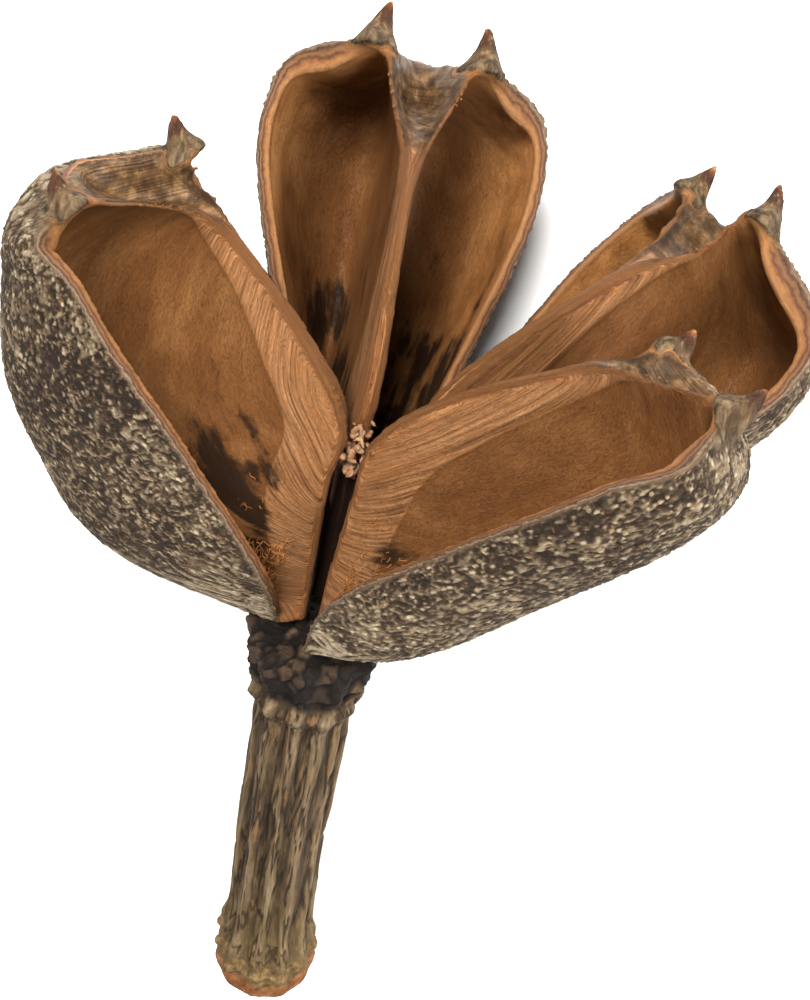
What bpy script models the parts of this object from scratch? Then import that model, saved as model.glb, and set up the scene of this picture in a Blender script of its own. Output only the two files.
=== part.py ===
"""A dried woody seed capsule, split open into four valves on its cut stalk, lying on its side.

The capsule is built standing on its stalk, with its axis on Z and the receptacle's top at
height 0, and is then laid down on the three places it rests on.
"""
import math

import bmesh
import bpy
import numpy as np
from mathutils import Matrix, Vector

MM = 0.001
OBJECT_NAME = "seed_capsule"

# One valve, in millimetres and in its own frame: x across it, y outward from the capsule's axis
# and z up. Each row is a station from the base to the crown: its place along the valve, then
# the rim of one half, the inner edge of the seed wall or horn ridge, and the middle of the back.
STATIONS = (
    (0.00, (1.9, 2.3, 0.6), (0.5, 1.2, 0.6), (4.0, 0.6)),
    (0.14, (4.8, 1.4, 6.0), (0.6, -1.0, 6.2), (9.4, 4.6)),
    (0.42, (7.0, 3.2, 16.0), (0.5, -3.9, 15.0), (12.6, 14.0)),
    (0.70, (8.2, 5.8, 26.0), (0.5, 0.9, 26.2), (13.0, 24.4)),
    (0.84, (7.0, 6.3, 28.9), (1.7, 2.6, 28.6), (12.0, 28.0)),
    (0.94, (3.9, 4.9, 30.1), (2.2, 3.5, 29.8), (10.6, 29.4)),
    (1.00, (2.7, 4.2, 30.3), (2.2, 3.9, 30.2), (9.4, 29.8)),
)
STATIONS_BUILT = (0.0, 0.04, 0.09, 0.15, 0.22, 0.30, 0.38, 0.46, 0.54, 0.62, 0.69, 0.75, 0.80, 0.85,
                  0.90, 1.0)
BACK_STEPS = 14             # steps across the back, from one rim to the other
WALL_STEPS = 7              # steps across the inside of each half's outer wall
SEED_WALL_STEPS = 4         # steps across each face of the seed wall
BACK_WRAP = math.radians(84)    # how far round the back curls from its middle to each rim
WALL_THICK = 1.0
LIP_WIDTH = 0.5             # least width between a rim and the seed wall's edge
SEED_WALL_HALF = 0.45       # half the thickness of the wall between the two halves
CHAMBER_ENDS = (0.10, 0.90)     # the hollow is full depth between these stations
ROOM_FOR_HOLLOW = 2.2       # a half this much wider than its lip is fully hollow
CLEFT_START = 0.72          # the seed wall's edge forks into two ridges above this station
CLEFT_DEPTH = 0.62          # depth of the cleft between the ridges, as a share of the way to the back
SADDLE_DEPTH = 0.92         # the same, at the crown between the horns
SEPTA_MEET = 13.7           # height up to which the four seed walls meet on the capsule's axis
SEPTA_GAP = 1.0             # from the axis to each seed wall's edge, below that height

# Each valve's own growth: where it faces round the axis (0 toward -Y, 90 toward +X), how far it
# gapes, twists and leans, its size, its base point, how full its back is low down and high
# up, how wide each of its halves is, and where each horn's tip is from the shared horn tip.
VALVES = {
    "valve_left": dict(facing=-67.7, gape=17.4, twist=-28.9, lean=3.6, size=1.00, base=(0.2, 0.8, 0.5),
                       fullness=(1.42, 1.02), feet=(1.0, 0.15), widths=(0.93, 0.95),
                       horns=((-1.7, 2.6, -1.3), (-1.4, -1.6, -0.3))),
    "valve_back": dict(facing=182.0, gape=6.3, twist=8.1, lean=1.7, size=1.10, base=(-0.9, 0.3, 0.9),
                       fullness=(1.00, 1.00), feet=(0.25, 0.7), widths=(0.94, 0.96),
                       horns=((0.1, 0.2, 0.6), (0.2, 0.2, 0.6))),
    "valve_right": dict(facing=109.7, gape=25.2, twist=12.5, lean=-1.8, size=1.11, base=(0.9, 0.2, 0.7),
                        fullness=(1.00, 1.00), feet=(0.75, 0.2), widths=(1.01, 1.05),
                        horns=((-0.7, -0.7, 0.2), (-1.6, -0.3, 1.2))),
    "valve_front": dict(facing=63.5, gape=26.8, twist=5.7, lean=-7.2, size=1.00, base=(-1.9, -0.8, 1.1),
                        fullness=(0.62, 0.76), feet=(0.22, 1.0), widths=(0.70, 0.97),
                        horns=((0.2, -1.6, -1.3), (-0.3, 2.5, 0.6))),
}
HORN_TIP = (2.4, 4.8, 32.0)
HORN_RADIUS = 0.75
HORN_SINK = 0.9             # how far each horn's foot starts below the crown
HORN_SIDES = 8
HORN_PULL = 0.9             # share of a horn's shift that its rim and ridge follow at the crown
PULL_START = 0.68           # station where they start to follow it

# The stalk, in millimetres: height below the receptacle's top, radius, and how deep its ribs are.
STALK_PROFILE = (
    (-0.3, 3.6, 0.00), (-0.5, 4.1, 0.04), (-1.6, 4.35, 0.06), (-3.0, 4.1, 0.06), (-4.3, 3.5, 0.05),
    (-4.8, 3.65, 0.03), (-5.4, 3.75, 0.03), (-6.0, 3.35, 0.05), (-9.0, 3.2, 0.07), (-14.0, 3.1, 0.08),
    (-20.0, 3.1, 0.08), (-26.0, 3.15, 0.08), (-30.2, 3.3, 0.07), (-32.3, 3.8, 0.06), (-33.7, 4.1, 0.05),
    (-34.3, 3.9, 0.03), (-35.0, 4.05, 0.02), (-35.8, 3.7, 0.01), (-36.4, 2.8, 0.00),
)
STALK_SIDES = 44
STALK_RIBS = 11
STALK_RING_GAP = 0.9        # greatest height between two rings of the stalk's mesh
STALK_BEND = 1.2            # sideways drift of the foot, toward +X
STALK_LENGTH = 36.4

RESTS_ON = ("valve_back", "valve_right", "stalk")
LEVELLING_ROUNDS = 12

COLOURS = {                 # base colour and roughness
    "valve_left": ((0.30, 0.17, 0.08), 0.75),
    "valve_back": ((0.33, 0.18, 0.08), 0.75),
    "valve_right": ((0.36, 0.20, 0.09), 0.75),
    "valve_front": ((0.28, 0.16, 0.08), 0.75),
    "stalk": ((0.20, 0.15, 0.10), 0.85),
}


def smooth_rows(places, values, at):
    """Catmull-Rom curve through values given at places, read off at other places."""
    places, values, at = (np.asarray(a, float) for a in (places, values, at))
    slopes = np.gradient(values, places, axis=0)
    i = np.clip(np.searchsorted(places, at, side="right") - 1, 0, len(places) - 2)
    span = places[i + 1] - places[i]
    t = ((at - places[i]) / span)[:, None]
    span = span[:, None]
    return ((2 * t**3 - 3 * t**2 + 1) * values[i] + (t**3 - 2 * t**2 + t) * span * slopes[i]
            + (3 * t**2 - 2 * t**3) * values[i + 1] + (t**3 - t**2) * span * slopes[i + 1])


def ease(t):
    t = np.clip(t, 0.0, 1.0)
    return t * t * (3 - 2 * t)


def turn(axis, degrees):
    return np.array(Matrix.Rotation(math.radians(degrees), 3, axis))


def valve_pose(valve):
    """Matrix and base point that take the valve's own frame into the capsule's."""
    grow = turn("Y", valve["lean"]) @ turn("X", -valve["gape"]) @ turn("Z", valve["twist"])
    facing = turn("Z", valve["facing"]) @ np.diag((-1.0, -1.0, 1.0))
    return facing @ grow * valve["size"], np.array(valve["base"], float)


def to_capsule(points, valve):
    matrix, base = valve_pose(valve)
    return points @ matrix.T + base


def to_valve(points, valve):
    matrix, base = valve_pose(valve)
    return np.linalg.solve(matrix, (np.asarray(points, float) - base).T).T


def station_curves(valve, at):
    """The valve's leading curves at the given stations: a rim and an edge on each side, and the back."""
    places = [row[0] for row in STATIONS]
    size = valve["size"]
    rim = smooth_rows(places, [row[1] for row in STATIONS], at)
    edge = smooth_rows(places, [row[2] for row in STATIONS], at)
    back = smooth_rows(places, [(0.0, *row[3]) for row in STATIONS], at)
    low_full, high_full = valve["fullness"]
    fullness = low_full + (high_full - low_full) * ease((at - 0.45) / 0.4)
    back[:, 1] = rim[:, 1] + (back[:, 1] - rim[:, 1]) * fullness
    height = to_capsule(edge, valve)[:, 2]
    meet = ease((SEPTA_MEET + 2.0 - height) / 4.0)[:, None]
    outward = turn("Z", valve["facing"]) @ (0.0, -1.0, 0.0)
    foot = np.array((*valve["base"][:2], 0.0)) * 0.5
    rise = np.clip(height / SEPTA_MEET, 0, 1)[:, None]
    axis_edge = to_valve(foot * (1 - rise) + outward * SEPTA_GAP + height[:, None] * (0.0, 0.0, 1.0), valve)
    sides = {}
    for side, width, foot_share, horn in zip((-1, 1), valve["widths"], valve["feet"], valve["horns"]):
        width = width * (foot_share + (1 - foot_share) * ease(at / 0.7))
        mirror = np.array((side, 1.0, 1.0))
        shift = np.outer(ease((at - PULL_START) / (1 - PULL_START)), horn) * HORN_PULL
        side_rim = rim * mirror * np.stack((width, at * 0 + 1, at * 0 + 1), axis=1) + shift
        side_edge = edge * mirror + shift * ease((at - CLEFT_START) / 0.2)[:, None]
        met_edge = axis_edge + np.outer(edge[:, 0] * side / size, (1, 0, 0))
        side_edge = side_edge * (1 - meet) + met_edge * meet
        side_edge = keep_own_side(side_edge, valve, outward)
        side_rim[:, 0] = side * np.maximum(side * side_rim[:, 0], side * side_edge[:, 0] + LIP_WIDTH)
        sides[side] = side_rim, side_edge
    return sides, back


def keep_own_side(edge, valve, outward):
    """The same edge, kept on its own valve's side of the capsule's axis."""
    placed = to_capsule(edge, valve)
    short = np.maximum(0.6 * SEPTA_GAP - placed @ outward, 0)
    return to_valve(placed + np.outer(short, outward), valve)


def valve_back_surface(sides, back):
    """Outside of the valve as a grid, station by station and from one rim to the other."""
    angle = np.linspace(-1, 1, BACK_STEPS + 1) * BACK_WRAP
    across = np.sin(np.abs(angle)) / math.sin(BACK_WRAP)
    near_back = (np.cos(angle) - math.cos(BACK_WRAP)) / (1 - math.cos(BACK_WRAP))
    grid = np.zeros((len(back), BACK_STEPS + 1, 3))
    for k, a in enumerate(angle):
        rim = sides[1 if a >= 0 else -1][0]
        grid[:, k, 0] = rim[:, 0] * across[k]
        grid[:, k, 1:] = rim[:, 1:] * (1 - near_back[k]) + back[:, 1:] * near_back[k]
    return grid


def inward_offset(grid, thick):
    """The same grid moved inward, along its normals, by the wall's thickness."""
    normal = np.cross(np.gradient(grid, axis=1), np.gradient(grid, axis=0))
    normal /= np.maximum(np.linalg.norm(normal, axis=2, keepdims=True), 1e-9)
    return grid + normal * thick


def resample(points, count):
    """Points spread evenly along a polyline."""
    length = np.concatenate(((0.0,), np.cumsum(np.linalg.norm(np.diff(points, axis=0), axis=1))))
    at = np.linspace(0, length[-1], count)
    return np.stack([np.interp(at, length, points[:, i]) for i in range(3)], axis=1)


def chamber_wall(inner, edge, side, open_share):
    """One half's hollow at one station, from its rim round to the seed wall's edge."""
    middle = len(inner) // 2
    wall = inner[middle::side] if side > 0 else inner[middle::-1]
    wall = wall[::-1].copy()
    root_half = SEED_WALL_HALF + 0.35 * max(abs(edge[0]) - SEED_WALL_HALF, 0.0)
    wall[:, 0] = side * np.maximum(np.abs(wall[:, 0]), root_half)
    wall = resample(wall, WALL_STEPS + 1)
    face = np.linspace(wall[-1], edge, SEED_WALL_STEPS + 1)[1:]
    lobe = np.concatenate((wall, face))
    chord = np.linspace(lobe[0], lobe[-1], len(lobe))
    return chord + (lobe - chord) * open_share


def valve_rings(valve, at=STATIONS_BUILT):
    """Closed rings of points, one per station, round the whole section of the valve."""
    at = np.array(at)
    sides, back = station_curves(valve, at)
    outer = valve_back_surface(sides, back)
    thick = WALL_THICK * (0.75 + 0.25 * ease((0.3 - at) / 0.3))
    inner = inward_offset(outer, thick[:, None, None])
    low, high = CHAMBER_ENDS
    open_share = np.sqrt(np.clip(at / low, 0, 1)) * np.sqrt(np.clip((1 - at) / (1 - high), 0, 1))
    roomy = {side: ease(((rim[:, 0] - edge[:, 0]) * side - LIP_WIDTH) / ROOM_FOR_HOLLOW)
             for side, (rim, edge) in sides.items()}
    rings = []
    for i, place in enumerate(at):
        plus, minus = (chamber_wall(inner[i], sides[side][1][i], side, open_share[i] * roomy[side][i])
                       for side in (1, -1))
        mouth = (plus[-1] + minus[-1]) / 2
        depth = CLEFT_DEPTH * ease((place - CLEFT_START) / 0.12)
        depth += (SADDLE_DEPTH - CLEFT_DEPTH) * ease((place - 0.9) / 0.1)
        floor = mouth + (inner[i][BACK_STEPS // 2] - mouth) * depth
        cleft = (plus[-1] * 0.35 + floor * 0.65, floor, minus[-1] * 0.35 + floor * 0.65)
        rings.append(np.concatenate((outer[i], plus, cleft, minus[::-1])))
    return np.array(rings)


def make_mesh(name, rings):
    """Loft through closed rings with a cap on each end."""
    mesh = bmesh.new()
    rows = [[mesh.verts.new(point * MM) for point in ring] for ring in rings]
    for low, high in zip(rows, rows[1:]):
        for i in range(len(low)):
            j = (i + 1) % len(low)
            mesh.faces.new((low[i], low[j], high[j], high[i]))
    for end in (rows[0], rows[-1]):
        mesh.faces.new(end)
    bmesh.ops.triangulate(mesh, faces=mesh.faces[:])
    bmesh.ops.recalc_face_normals(mesh, faces=mesh.faces[:])
    for face in mesh.faces:
        face.smooth = True
    data = bpy.data.meshes.new(name)
    mesh.to_mesh(data)
    mesh.free()
    return bpy.data.objects.new(name, data)


def horn_cone(name, tip, foot, radius):
    """A pointed horn from its foot to its tip."""
    axis = Vector(tip - foot)
    cone = bmesh.new()
    bmesh.ops.create_cone(cone, cap_ends=True, segments=HORN_SIDES, radius1=radius * MM, radius2=0.06 * MM,
                          depth=axis.length * MM)
    place = Matrix.Translation((Vector(foot) + axis / 2) * MM)
    place = place @ axis.to_track_quat("Z", "Y").to_matrix().to_4x4()
    bmesh.ops.transform(cone, matrix=place, verts=cone.verts)
    bmesh.ops.triangulate(cone, faces=cone.faces[:])
    data = bpy.data.meshes.new(name)
    cone.to_mesh(data)
    cone.free()
    return bpy.data.objects.new(name, data)


def make_valve(name, valve):
    rings = valve_rings(valve)
    body = make_mesh(name, to_capsule(rings.reshape(-1, 3), valve).reshape(rings.shape))
    bpy.context.scene.collection.objects.link(body)
    top = rings[-1]
    for side, corner, horn in ((-1, top[0], valve["horns"][0]), (1, top[BACK_STEPS], valve["horns"][1])):
        tip = np.array((side * HORN_TIP[0], HORN_TIP[1], HORN_TIP[2])) + horn
        lean = (tip - corner) / np.linalg.norm(tip - corner)
        foot = corner - lean * HORN_SINK + (-0.4 * side, 0.3, 0.0)
        ends = to_capsule(np.array((tip, foot)), valve)
        cone = horn_cone(name + "_horn", ends[0], ends[1], HORN_RADIUS)
        bpy.context.scene.collection.objects.link(cone)
        join_onto(body, cone)
    return body


def join_onto(body, extra):
    """Boolean union of two solids, kept as the first one's mesh."""
    union = body.modifiers.new("union", "BOOLEAN")
    union.operation = "UNION"
    union.solver = "EXACT"
    union.object = extra
    bake_modifiers(body)
    bpy.data.objects.remove(extra)


def bake_modifiers(body):
    depsgraph = bpy.context.evaluated_depsgraph_get()
    data = bpy.data.meshes.new_from_object(body.evaluated_get(depsgraph))
    body.modifiers.clear()
    body.data = data


def make_stalk(name):
    """The ribbed stalk with its receptacle, ring and foot, as one loft."""
    rows = np.array(STALK_PROFILE)[::-1]
    heights = [rows[0][0]]
    for low, high in zip(rows[:-1, 0], rows[1:, 0]):
        steps = max(1, math.ceil((high - low) / STALK_RING_GAP))
        heights += list(np.linspace(low, high, steps + 1)[1:])
    heights = np.array(heights)
    shape = smooth_rows(rows[:, 0], rows[:, 1:], heights)
    angle = np.linspace(0, math.tau, STALK_SIDES, endpoint=False)
    rings = []
    for height, (radius, rib) in zip(heights, shape):
        wander = 0.35 * math.sin(height * 0.35) + 0.2 * math.sin(height * 0.9 + 1)
        ribs = np.sin(STALK_RIBS * angle + wander) + 0.4 * np.sin(5 * angle - wander)
        ridged = radius * (1 + rib * ribs)
        drift = STALK_BEND * (height / STALK_LENGTH) ** 2
        ring = (drift + ridged * np.cos(angle), ridged * np.sin(angle), np.full(STALK_SIDES, height))
        rings.append(np.stack(ring, axis=1))
    return make_mesh(name, np.array(rings))


def paint(body):
    colour, rough = COLOURS[body.name]
    material = bpy.data.materials.new(body.name)
    material.use_nodes = True
    shader = material.node_tree.nodes["Principled BSDF"]
    shader.inputs["Base Color"].default_value = (*colour, 1.0)
    shader.inputs["Roughness"].default_value = rough
    shader.inputs["Metallic"].default_value = 0.0
    body.data.materials.clear()
    body.data.materials.append(material)


def lay_down(parts):
    """Place the parts so that the capsule lies on its back, level on the pieces it rests on.

    Each round finds the lowest point of each resting piece and turns all the parts so that
    the three points are level. The parts end centred on Z, with the surface at height 0.
    """
    laid = Matrix.Rotation(math.radians(-90), 3, "X")
    up = Vector((0.0, 0.0, 1.0))
    resting = [part for part in parts if part.name in RESTS_ON]
    for _ in range(LEVELLING_ROUNDS):
        a, b, c = (min((laid @ v.co for v in part.data.vertices), key=up.dot) for part in resting)
        normal = (b - a).cross(c - a)
        normal *= math.copysign(1.0, normal.z)
        laid = normal.rotation_difference(up).to_matrix() @ laid
    points = [laid @ v.co for part in parts for v in part.data.vertices]
    low = Vector(min(point[i] for point in points) for i in range(3))
    high = Vector(max(point[i] for point in points) for i in range(3))
    move = Vector((-(low.x + high.x) / 2, -(low.y + high.y) / 2, -low.z))
    for part in parts:
        part.matrix_world = Matrix.Translation(move) @ laid.to_4x4()


def clear_scene():
    for old in list(bpy.data.objects):
        bpy.data.objects.remove(old)


def main():
    clear_scene()
    parts = [make_valve(name, valve) for name, valve in VALVES.items()]
    parts.append(make_stalk("stalk"))
    lay_down(parts)
    collection = bpy.data.collections.new(OBJECT_NAME)
    bpy.context.scene.collection.children.link(collection)
    for body in parts:
        for other in list(body.users_collection):
            other.objects.unlink(body)
        collection.objects.link(body)
        paint(body)


main()
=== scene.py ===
"""The looks of the split seed capsule: bark, wood, horns, fibres and stalk, in a plain pale studio.

The capsule grows in millimetres with its axis on Z and the receptacle's top at height 0, by the
same measurements as the CAD, and each finished piece is then laid down as the CAD lies.
"""

import math

import bmesh
import bpy
import numpy as np
from mathutils import Matrix, Vector
from mathutils.bvhtree import BVHTree

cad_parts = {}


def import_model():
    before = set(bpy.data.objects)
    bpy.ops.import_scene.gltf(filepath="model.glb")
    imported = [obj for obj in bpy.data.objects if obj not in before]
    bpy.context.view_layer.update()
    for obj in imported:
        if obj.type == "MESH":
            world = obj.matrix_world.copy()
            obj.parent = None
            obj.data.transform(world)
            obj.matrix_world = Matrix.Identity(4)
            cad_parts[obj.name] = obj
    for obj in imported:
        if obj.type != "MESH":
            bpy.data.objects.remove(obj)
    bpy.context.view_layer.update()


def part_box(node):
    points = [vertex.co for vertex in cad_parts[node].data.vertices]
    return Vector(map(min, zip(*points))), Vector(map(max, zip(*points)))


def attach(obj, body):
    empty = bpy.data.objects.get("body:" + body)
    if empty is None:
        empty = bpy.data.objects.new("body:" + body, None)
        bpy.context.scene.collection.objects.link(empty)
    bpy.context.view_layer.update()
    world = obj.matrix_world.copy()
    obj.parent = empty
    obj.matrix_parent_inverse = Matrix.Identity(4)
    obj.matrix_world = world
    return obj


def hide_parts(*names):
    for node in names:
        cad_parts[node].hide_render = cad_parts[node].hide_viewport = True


MM = 0.001

# How the growth frame is laid down: the rows of its rotation, and where its origin comes to lie, in mm.
LAID_TURN = ((0.99908, -0.03276, 0.02767), (-0.01956, 0.22602, 0.97393), (-0.03816, -0.97357, 0.22517))
LAID_ORIGIN = (-2.30, -0.59, 11.85)

# One valve in millimetres and in its own frame: x across, y outward, z up. Each row is a station:
# its place along the valve, the rim of one half, the seed wall's edge, and the middle of the back.
STATIONS = (
    (0.00, (1.9, 2.3, 0.6), (0.5, 1.2, 0.6), (4.0, 0.6)),
    (0.14, (4.8, 1.4, 6.0), (0.6, -1.0, 6.2), (9.4, 4.6)),
    (0.42, (7.0, 3.2, 16.0), (0.5, -3.9, 15.0), (12.6, 14.0)),
    (0.70, (8.2, 5.8, 26.0), (0.5, 0.9, 26.2), (13.0, 24.4)),
    (0.84, (7.0, 6.3, 28.9), (1.7, 2.6, 28.6), (12.0, 28.0)),
    (0.94, (3.9, 4.9, 30.1), (2.2, 3.5, 29.8), (10.6, 29.4)),
    (1.00, (2.7, 4.2, 30.3), (2.2, 3.9, 30.2), (9.4, 29.8)),
)
STATION_COUNT = 150
VALVE_LENGTH = 33.0         # from the base to the crown, along the back
BACK_STEPS = 96
WALL_STEPS = 44
SEED_WALL_STEPS = 24
CLEFT_STEPS = 9
BACK_WRAP = math.radians(84)
WALL_THICK = 1.0
LIP_WIDTH = 0.5
SEED_WALL_HALF = 0.45
WEDGE = 1.3                 # how much thicker the seed wall's root is, on each side, near the base
CHAMBER_ENDS = (0.07, 0.90)
RIM_AT_CROWN = 0.75         # how much thicker the wall is around the hollow's top
ROOM_FOR_HOLLOW = 2.2
CLEFT_START = 0.72
CLEFT_DEPTH = 0.62          # shares of the way from the seed wall's edge to the back
SADDLE_DEPTH = 0.92
WALL_ROUNDS = 60            # rounds of softening
RING_ROUNDS = 22
SEPTA_MEET = 13.7
SEPTA_GAP = 1.0

VALVES = {
    "valve_left": dict(facing=-67.7, gape=17.4, twist=-28.9, lean=3.6, size=1.00, base=(0.2, 0.8, 0.5),
                       fullness=(1.42, 1.02), feet=(1.0, 0.15), widths=(0.93, 0.95),
                       horns=((-1.7, 2.6, -1.3), (-1.4, -1.6, -0.3)), stain=19.0, seed=11),
    "valve_back": dict(facing=182.0, gape=6.3, twist=8.1, lean=1.7, size=1.10, base=(-0.9, 0.3, 0.9),
                       fullness=(1.00, 1.00), feet=(0.25, 0.7), widths=(0.94, 0.96),
                       horns=((0.1, 0.2, 0.6), (0.2, 0.2, 0.6)), stain=22.0, seed=23),
    "valve_right": dict(facing=109.7, gape=25.2, twist=12.5, lean=-1.8, size=1.11, base=(0.9, 0.2, 0.7),
                        fullness=(1.00, 1.00), feet=(0.75, 0.2), widths=(1.01, 1.05),
                        horns=((-0.7, -0.7, 0.2), (-1.6, -0.3, 1.2)), stain=17.0, seed=37),
    "valve_front": dict(facing=63.5, gape=26.8, twist=5.7, lean=-7.2, size=1.00, base=(-1.9, -0.8, 1.1),
                        fullness=(0.62, 0.76), feet=(0.22, 1.0), widths=(0.70, 0.97),
                        horns=((0.2, -1.6, -1.3), (-0.3, 2.5, 0.6)), stain=15.0, seed=51),
}
HORN_TIP = (2.4, 4.8, 32.0)
HORN_SINK = 0.7
HORN_RADII = ((0.0, 1.25), (0.2, 1.15), (0.34, 0.86), (0.52, 0.58), (0.74, 0.39), (0.9, 0.25), (1.0, 0.13))
HORN_SIDES = 20
HORN_RINGS = 30
HORN_PULL = 0.9
PULL_START = 0.68

REMESH_SIZE = 0.17          # edge of the even mesh that each valve is turned into
STALK_PROFILE = (           # height, radius, rib depth
    (-0.3, 3.6, 0.00), (-0.5, 4.1, 0.04), (-1.6, 4.35, 0.06), (-3.0, 4.1, 0.06), (-4.3, 3.5, 0.05),
    (-4.8, 3.65, 0.03), (-5.4, 3.75, 0.03), (-6.0, 3.35, 0.05), (-9.0, 3.2, 0.07), (-14.0, 3.1, 0.08),
    (-20.0, 3.1, 0.08), (-26.0, 3.15, 0.08), (-30.2, 3.3, 0.07), (-32.3, 3.8, 0.06), (-33.7, 4.1, 0.05),
    (-34.3, 3.9, 0.03), (-35.0, 4.05, 0.02), (-35.8, 3.7, 0.01), (-36.4, 2.8, 0.00),
)
STALK_SIDES = 250
STALK_RING_GAP = 0.13
STALK_RIBS = 11
STALK_BEND = 1.2
STALK_LENGTH = 36.4
HEAD_END = -4.6             # heights on the stalk
RING_AT = -5.2
RING_GROOVE_AT = -4.75
FOOT_START = -31.6
CREASE_AT = -33.9
DISC_START = -34.15

FAR = 9.0                   # a distance that counts as far from the rim or the edge
HALVES_APART = 20.0         # keeps the grain of the two hollows and the back from meeting

FIBRES = (                  # name's ending, from and to along the hollow, count, length, thickness
    ("_fibres", 1.0, 5.5, 700, 1.15, 0.035),
    ("_stray_fibres", 5.0, 10.0, 110, 0.9, 0.028),
)
FIBRE_STEPS = 8
FIBRE_CURL = 0.8
CRUMB_COUNT = 75
CRUMB_HEIGHTS = (12.0, 15.4)

# Colour ramps: places from 0 to 1, and linear colours.
WOOD_TONES = ((0.28, (0.115, 0.044, 0.012)), (0.5, (0.275, 0.116, 0.035)), (0.72, (0.47, 0.225, 0.078)))
FLANGE_TONES = ((0.30, (0.062, 0.024, 0.008)), (0.45, (0.165, 0.072, 0.027)), (0.66, (0.30, 0.145, 0.062)))
EDGE_TONES = ((0.38, (0.040, 0.013, 0.006)), (0.50, (0.20, 0.074, 0.024)), (0.66, (0.46, 0.225, 0.085)))
PIT_TONES = ((0.32, (0.010, 0.006, 0.003)), (0.50, (0.055, 0.030, 0.012)), (0.72, (0.20, 0.115, 0.050)))
BARK_TONES = (
    (0.24, (0.016, 0.010, 0.006)), (0.40, (0.048, 0.031, 0.018)), (0.52, (0.125, 0.088, 0.052)),
    (0.66, (0.22, 0.168, 0.106)), (0.90, (0.37, 0.305, 0.208)),
)
LIP_TONES = (
    (0.0, (0.20, 0.084, 0.027)), (0.20, (0.29, 0.134, 0.049)), (0.30, (0.21, 0.090, 0.031)),
    (0.38, (0.085, 0.032, 0.015)), (0.48, (0.20, 0.098, 0.044)), (0.58, (0.060, 0.026, 0.016)),
    (0.68, (0.20, 0.140, 0.085)), (0.80, (0.075, 0.052, 0.032)), (1.0, (0.050, 0.036, 0.023)),
)
HORN_TONES = (
    (0.30, (0.090, 0.058, 0.029)), (0.50, (0.085, 0.050, 0.025)), (0.66, (0.050, 0.023, 0.013)),
    (0.86, (0.060, 0.023, 0.012)), (0.96, (0.18, 0.068, 0.023)), (1.0, (0.36, 0.150, 0.050)),
)
COLLAR_TONES = ((0.34, (0.018, 0.010, 0.005)), (0.48, (0.070, 0.043, 0.021)), (0.68, (0.22, 0.150, 0.082)))
STEM_TONES = (
    (0.36, (0.012, 0.008, 0.005)), (0.49, (0.042, 0.027, 0.014)), (0.60, (0.095, 0.064, 0.034)),
    (0.72, (0.170, 0.122, 0.070)), (0.86, (0.32, 0.245, 0.155)),
)
HEAD_TONES = (
    (0.3, (0.007, 0.005, 0.004)), (0.6, (0.022, 0.014, 0.009)), (0.85, (0.042, 0.026, 0.015)),
    (1.0, (0.10, 0.062, 0.036)),
)
FOOT_TONES = ((0.32, (0.025, 0.015, 0.006)), (0.5, (0.095, 0.058, 0.022)), (0.7, (0.23, 0.145, 0.062)))
DISC_TONES = ((0.3, (0.055, 0.020, 0.007)), (0.5, (0.135, 0.052, 0.018)), (0.72, (0.27, 0.125, 0.050)))
RUSTY_TONES = ((0.32, (0.10, 0.030, 0.006)), (0.68, (0.42, 0.17, 0.045)))
CRUMB_TONES = ((0.32, (0.15, 0.062, 0.027)), (0.68, (0.33, 0.190, 0.098)))
FLOOR_TONES = ((0.3, (0.86, 0.86, 0.86)), (0.7, (0.88, 0.88, 0.88)))

CAMERA_OFFSET = (5.68, 8.23, 68.25)     # right, up and back from the receptacle's top, in mm
CAMERA_ELEVATION = 32.4                 # degrees, above the mouth of the upright capsule
CAMERA_ROLL = 13.7
CAMERA_LENS = 37.8
SENSOR_WIDTH = 36.0
WORLD_STRENGTH = 0.32
LIGHT_AIM = (0.0, 6.0, 8.0)
LIGHTS = (                  # name, place and size in mm, power, colour
    ("key", (-60.0, 190.0, 310.0), 170.0, 3.2, (1.0, 0.98, 0.95)),
    ("fill", (230.0, 10.0, 250.0), 190.0, 1.9, (0.98, 0.99, 1.0)),
)
FLOOR_SIZE = 1.5            # metres
FLOOR_DROP = 0.02           # how far the floor lies below the capsule's lowest point, in mm


# ---------------------------------------------------------------- numbers

def smooth_rows(places, values, at):
    """Smooth curve through values given at places, read off at other places."""
    places, values, at = (np.asarray(a, float) for a in (places, values, at))
    slopes = np.gradient(values, places, axis=0)
    i = np.clip(np.searchsorted(places, at, side="right") - 1, 0, len(places) - 2)
    span = places[i + 1] - places[i]
    t = ((at - places[i]) / span)[:, None]
    span = span[:, None]
    return ((2 * t**3 - 3 * t**2 + 1) * values[i] + (t**3 - 2 * t**2 + t) * span * slopes[i]
            + (3 * t**2 - 2 * t**3) * values[i + 1] + (t**3 - t**2) * span * slopes[i + 1])


def ease(t):
    t = np.clip(t, 0.0, 1.0)
    return t * t * (3 - 2 * t)


def bump_at(x, middle, width):
    """1 at the middle, falling smoothly to 0 a width away."""
    return ease(1 - np.abs(x - middle) / width)


def turn(axis, degrees):
    return np.array(Matrix.Rotation(math.radians(degrees), 3, axis))


def hashed(cells, seed):
    """A repeatable number from 0 to 1 for each whole-number cell."""
    x, y, z = (cells[..., i].astype(np.int64) for i in range(3))
    h = (x * 374761393 + y * 668265263 + z * 1440662683 + seed * 1274126177) & 0xFFFFFFFF
    h = ((h ^ (h >> 13)) * 1274126177) & 0xFFFFFFFF
    h = ((h ^ (h >> 15)) * 2246822519) & 0xFFFFFFFF
    return ((h ^ (h >> 16)) & 0xFFFFFF) / float(0xFFFFFF)


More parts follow.
